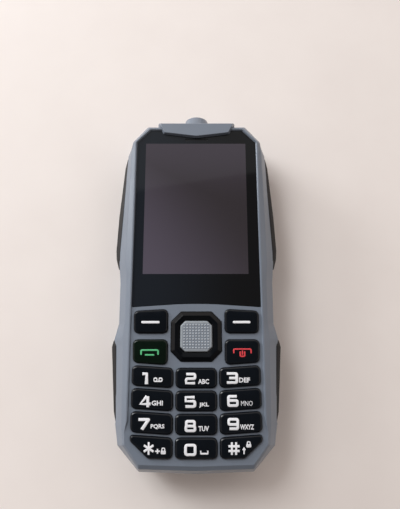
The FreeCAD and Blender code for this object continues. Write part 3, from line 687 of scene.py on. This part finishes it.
for key, marks in legends.items():
    made = []
    for mark, width, place in marks:
        sign = drawn(signs[mark], width) if width else lettered(mark)
        made.append(printed(sign, *place, crowns[key]))
    bpy.ops.object.select_all(action="DESELECT")
    for sign in made:
        sign.select_set(True)
    bpy.context.view_layer.objects.active = made[0]
    if len(made) > 1:
        bpy.ops.object.join()
    legend = bpy.context.active_object
    legend.name = key + "_legend"
    inks[key_inks.get(key, "white")].on(legend)
    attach(legend, nodes[key]["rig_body"])


# Screws
# Four bright steel screws whose heads lie in wells under the sliding cover. A cross recess is cut into
# each head.

recess_half_length = 0.9 * mm
recess_half_width = 0.2 * mm
recess_depth = 0.7 * mm
steel = Finish("screw_steel", Metallic=0.9)
brushed = steel.cloud(1.5 * mm, 3.0)
steel.feed("Base Color", steel.tint(brushed, colour(150, 152, 156), colour(172, 174, 178)))
steel.feed("Roughness", brushed * 0.1 + 0.28)

screws = cast("housing_screws")
head_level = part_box("housing_screws")[0].z
heads = [face for face in screws.data.polygons if abs(face.center.z - head_level) < 0.01 * mm]
bars = []
for place in [head.center.copy() for head in heads]:
    for half_x, half_y in ((recess_half_length, recess_half_width), (recess_half_width, recess_half_length)):
        bpy.ops.object.select_all(action="DESELECT")
        bpy.ops.mesh.primitive_cube_add(size=2.0, location=place)
        bars.append(bpy.context.active_object)
        bars[-1].scale = (half_x, half_y, recess_depth)
for half in (bars[0::2], bars[1::2]):
    bpy.ops.object.select_all(action="DESELECT")
    for bar in half:
        bar.select_set(True)
    bpy.context.view_layer.objects.active = half[0]
    bpy.ops.object.transform_apply()
    bpy.ops.object.join()
    picked(screws)
    applied("BOOLEAN", object=half[0], operation="DIFFERENCE", solver="EXACT")
    picked(half[0])
    bpy.ops.object.delete()
rounded(screws, 0.06 * mm, 2)
finished(screws, "housing_screws", steel)


# Torch lens, earpiece mesh and camera window
# The small clear and dark pieces that show on the ends, the face and the back. The camera window is
# printed with a dark ring round its lens, and a purple-blue reflection is painted on the lens itself.

lens_radius = 0.1 * mm
hole_pitch = 0.22 * mm
eye_radius = 0.12 * mm
barrel_radius = 1.75 * mm
lens_reflection_radius = 1.55 * mm
pupil_radius = 0.6 * mm

lens = Finish("torch_lens_clear", IOR=1.49)
lens.shader.inputs["Transmission Weight"].default_value = 0.85
ripple = lens.cloud(1.2 * mm)
lens.feed("Base Color", lens.tint(ripple, colour(222, 226, 230), colour(236, 239, 242)))
lens.feed("Roughness", ripple * 0.06 + 0.03)
piece = cast("torch_lens")
rounded(piece, lens_radius)
finished(piece, "torch_lens", lens)

mesh_paint = Finish("mesh_paint", Roughness=0.5, Metallic=0.6)
hole_grid = {"Vector": mesh_paint.place, "Scale": 1.0 / hole_pitch}
holes = mesh_paint.add("ShaderNodeTexVoronoi", inputs=hole_grid)
mesh_paint.feed("Base Color", mesh_paint.tint(holes, colour(6, 6, 7), colour(48, 48, 52)))
mesh_paint.on(nodes["earpiece_mesh"])

eye = Finish("camera_glass", IOR=1.5, Roughness=0.03)
x, y = eye.axes(eye.place)[:2]
eye_low, eye_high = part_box("camera_window")
eye_middle = (eye_low + eye_high) / 2.0
off_x, off_y = x - eye_middle.x, y - eye_middle.y
distance = (off_x * off_x + off_y * off_y).root()
barrel = eye.tint(distance < barrel_radius, colour(12, 12, 14), colour(70, 72, 78))
# Painted reflection: a purple-blue disc on the lens.
painted_lens_reflection = eye.tint(distance < lens_reflection_radius, barrel, colour(26, 24, 48))
eye.feed("Base Color", eye.tint(distance < pupil_radius, painted_lens_reflection, colour(5, 5, 8)))
piece = cast("camera_window")
rounded(piece, eye_radius)
finished(piece, "camera_window", eye)


# Pieces inside
# Boards, cans, foils and silicone parts. They show through the openings and once the cover slides.

inner = {
    "steel": ((150, 152, 156), (172, 174, 178), 0.3, 0.9),
    "black_plastic": ((22, 22, 24), (34, 34, 37), 0.5, 0.0),
    "display_glass": ((44, 44, 48), (54, 54, 58), 0.2, 0.0),
    "adhesive_foam": ((22, 22, 22), (30, 30, 30), 0.8, 0.0),
    "polyimide": ((166, 106, 40), (186, 122, 52), 0.35, 0.0),
    "circuit_board": ((18, 78, 52), (26, 92, 62), 0.4, 0.0),
    "silicone": ((150, 152, 154), (168, 170, 172), 0.5, 0.0),
    "battery_cell": ((58, 60, 66), (74, 76, 82), 0.45, 0.3),
    "led_white": ((232, 222, 150), (240, 232, 176), 0.3, 0.0),
    "microphone_metal": ((160, 162, 166), (176, 178, 182), 0.3, 0.9),
}
finishes = {}
for slot_name, (dark, light, roughness, metallic) in inner.items():
    finish = Finish(slot_name + "_inside", Metallic=metallic)
    spots = finish.cloud(1.5 * mm, 3.0)
    finish.feed("Base Color", finish.tint(spots, colour(*dark), colour(*light)))
    finish.feed("Roughness", spots * 0.1 + roughness)
    finishes[slot_name] = finish
for part in frame["record"]["subparts"]:
    if part["material_slot"] in finishes:
        finishes[part["material_slot"]].on(nodes[part["node"]])
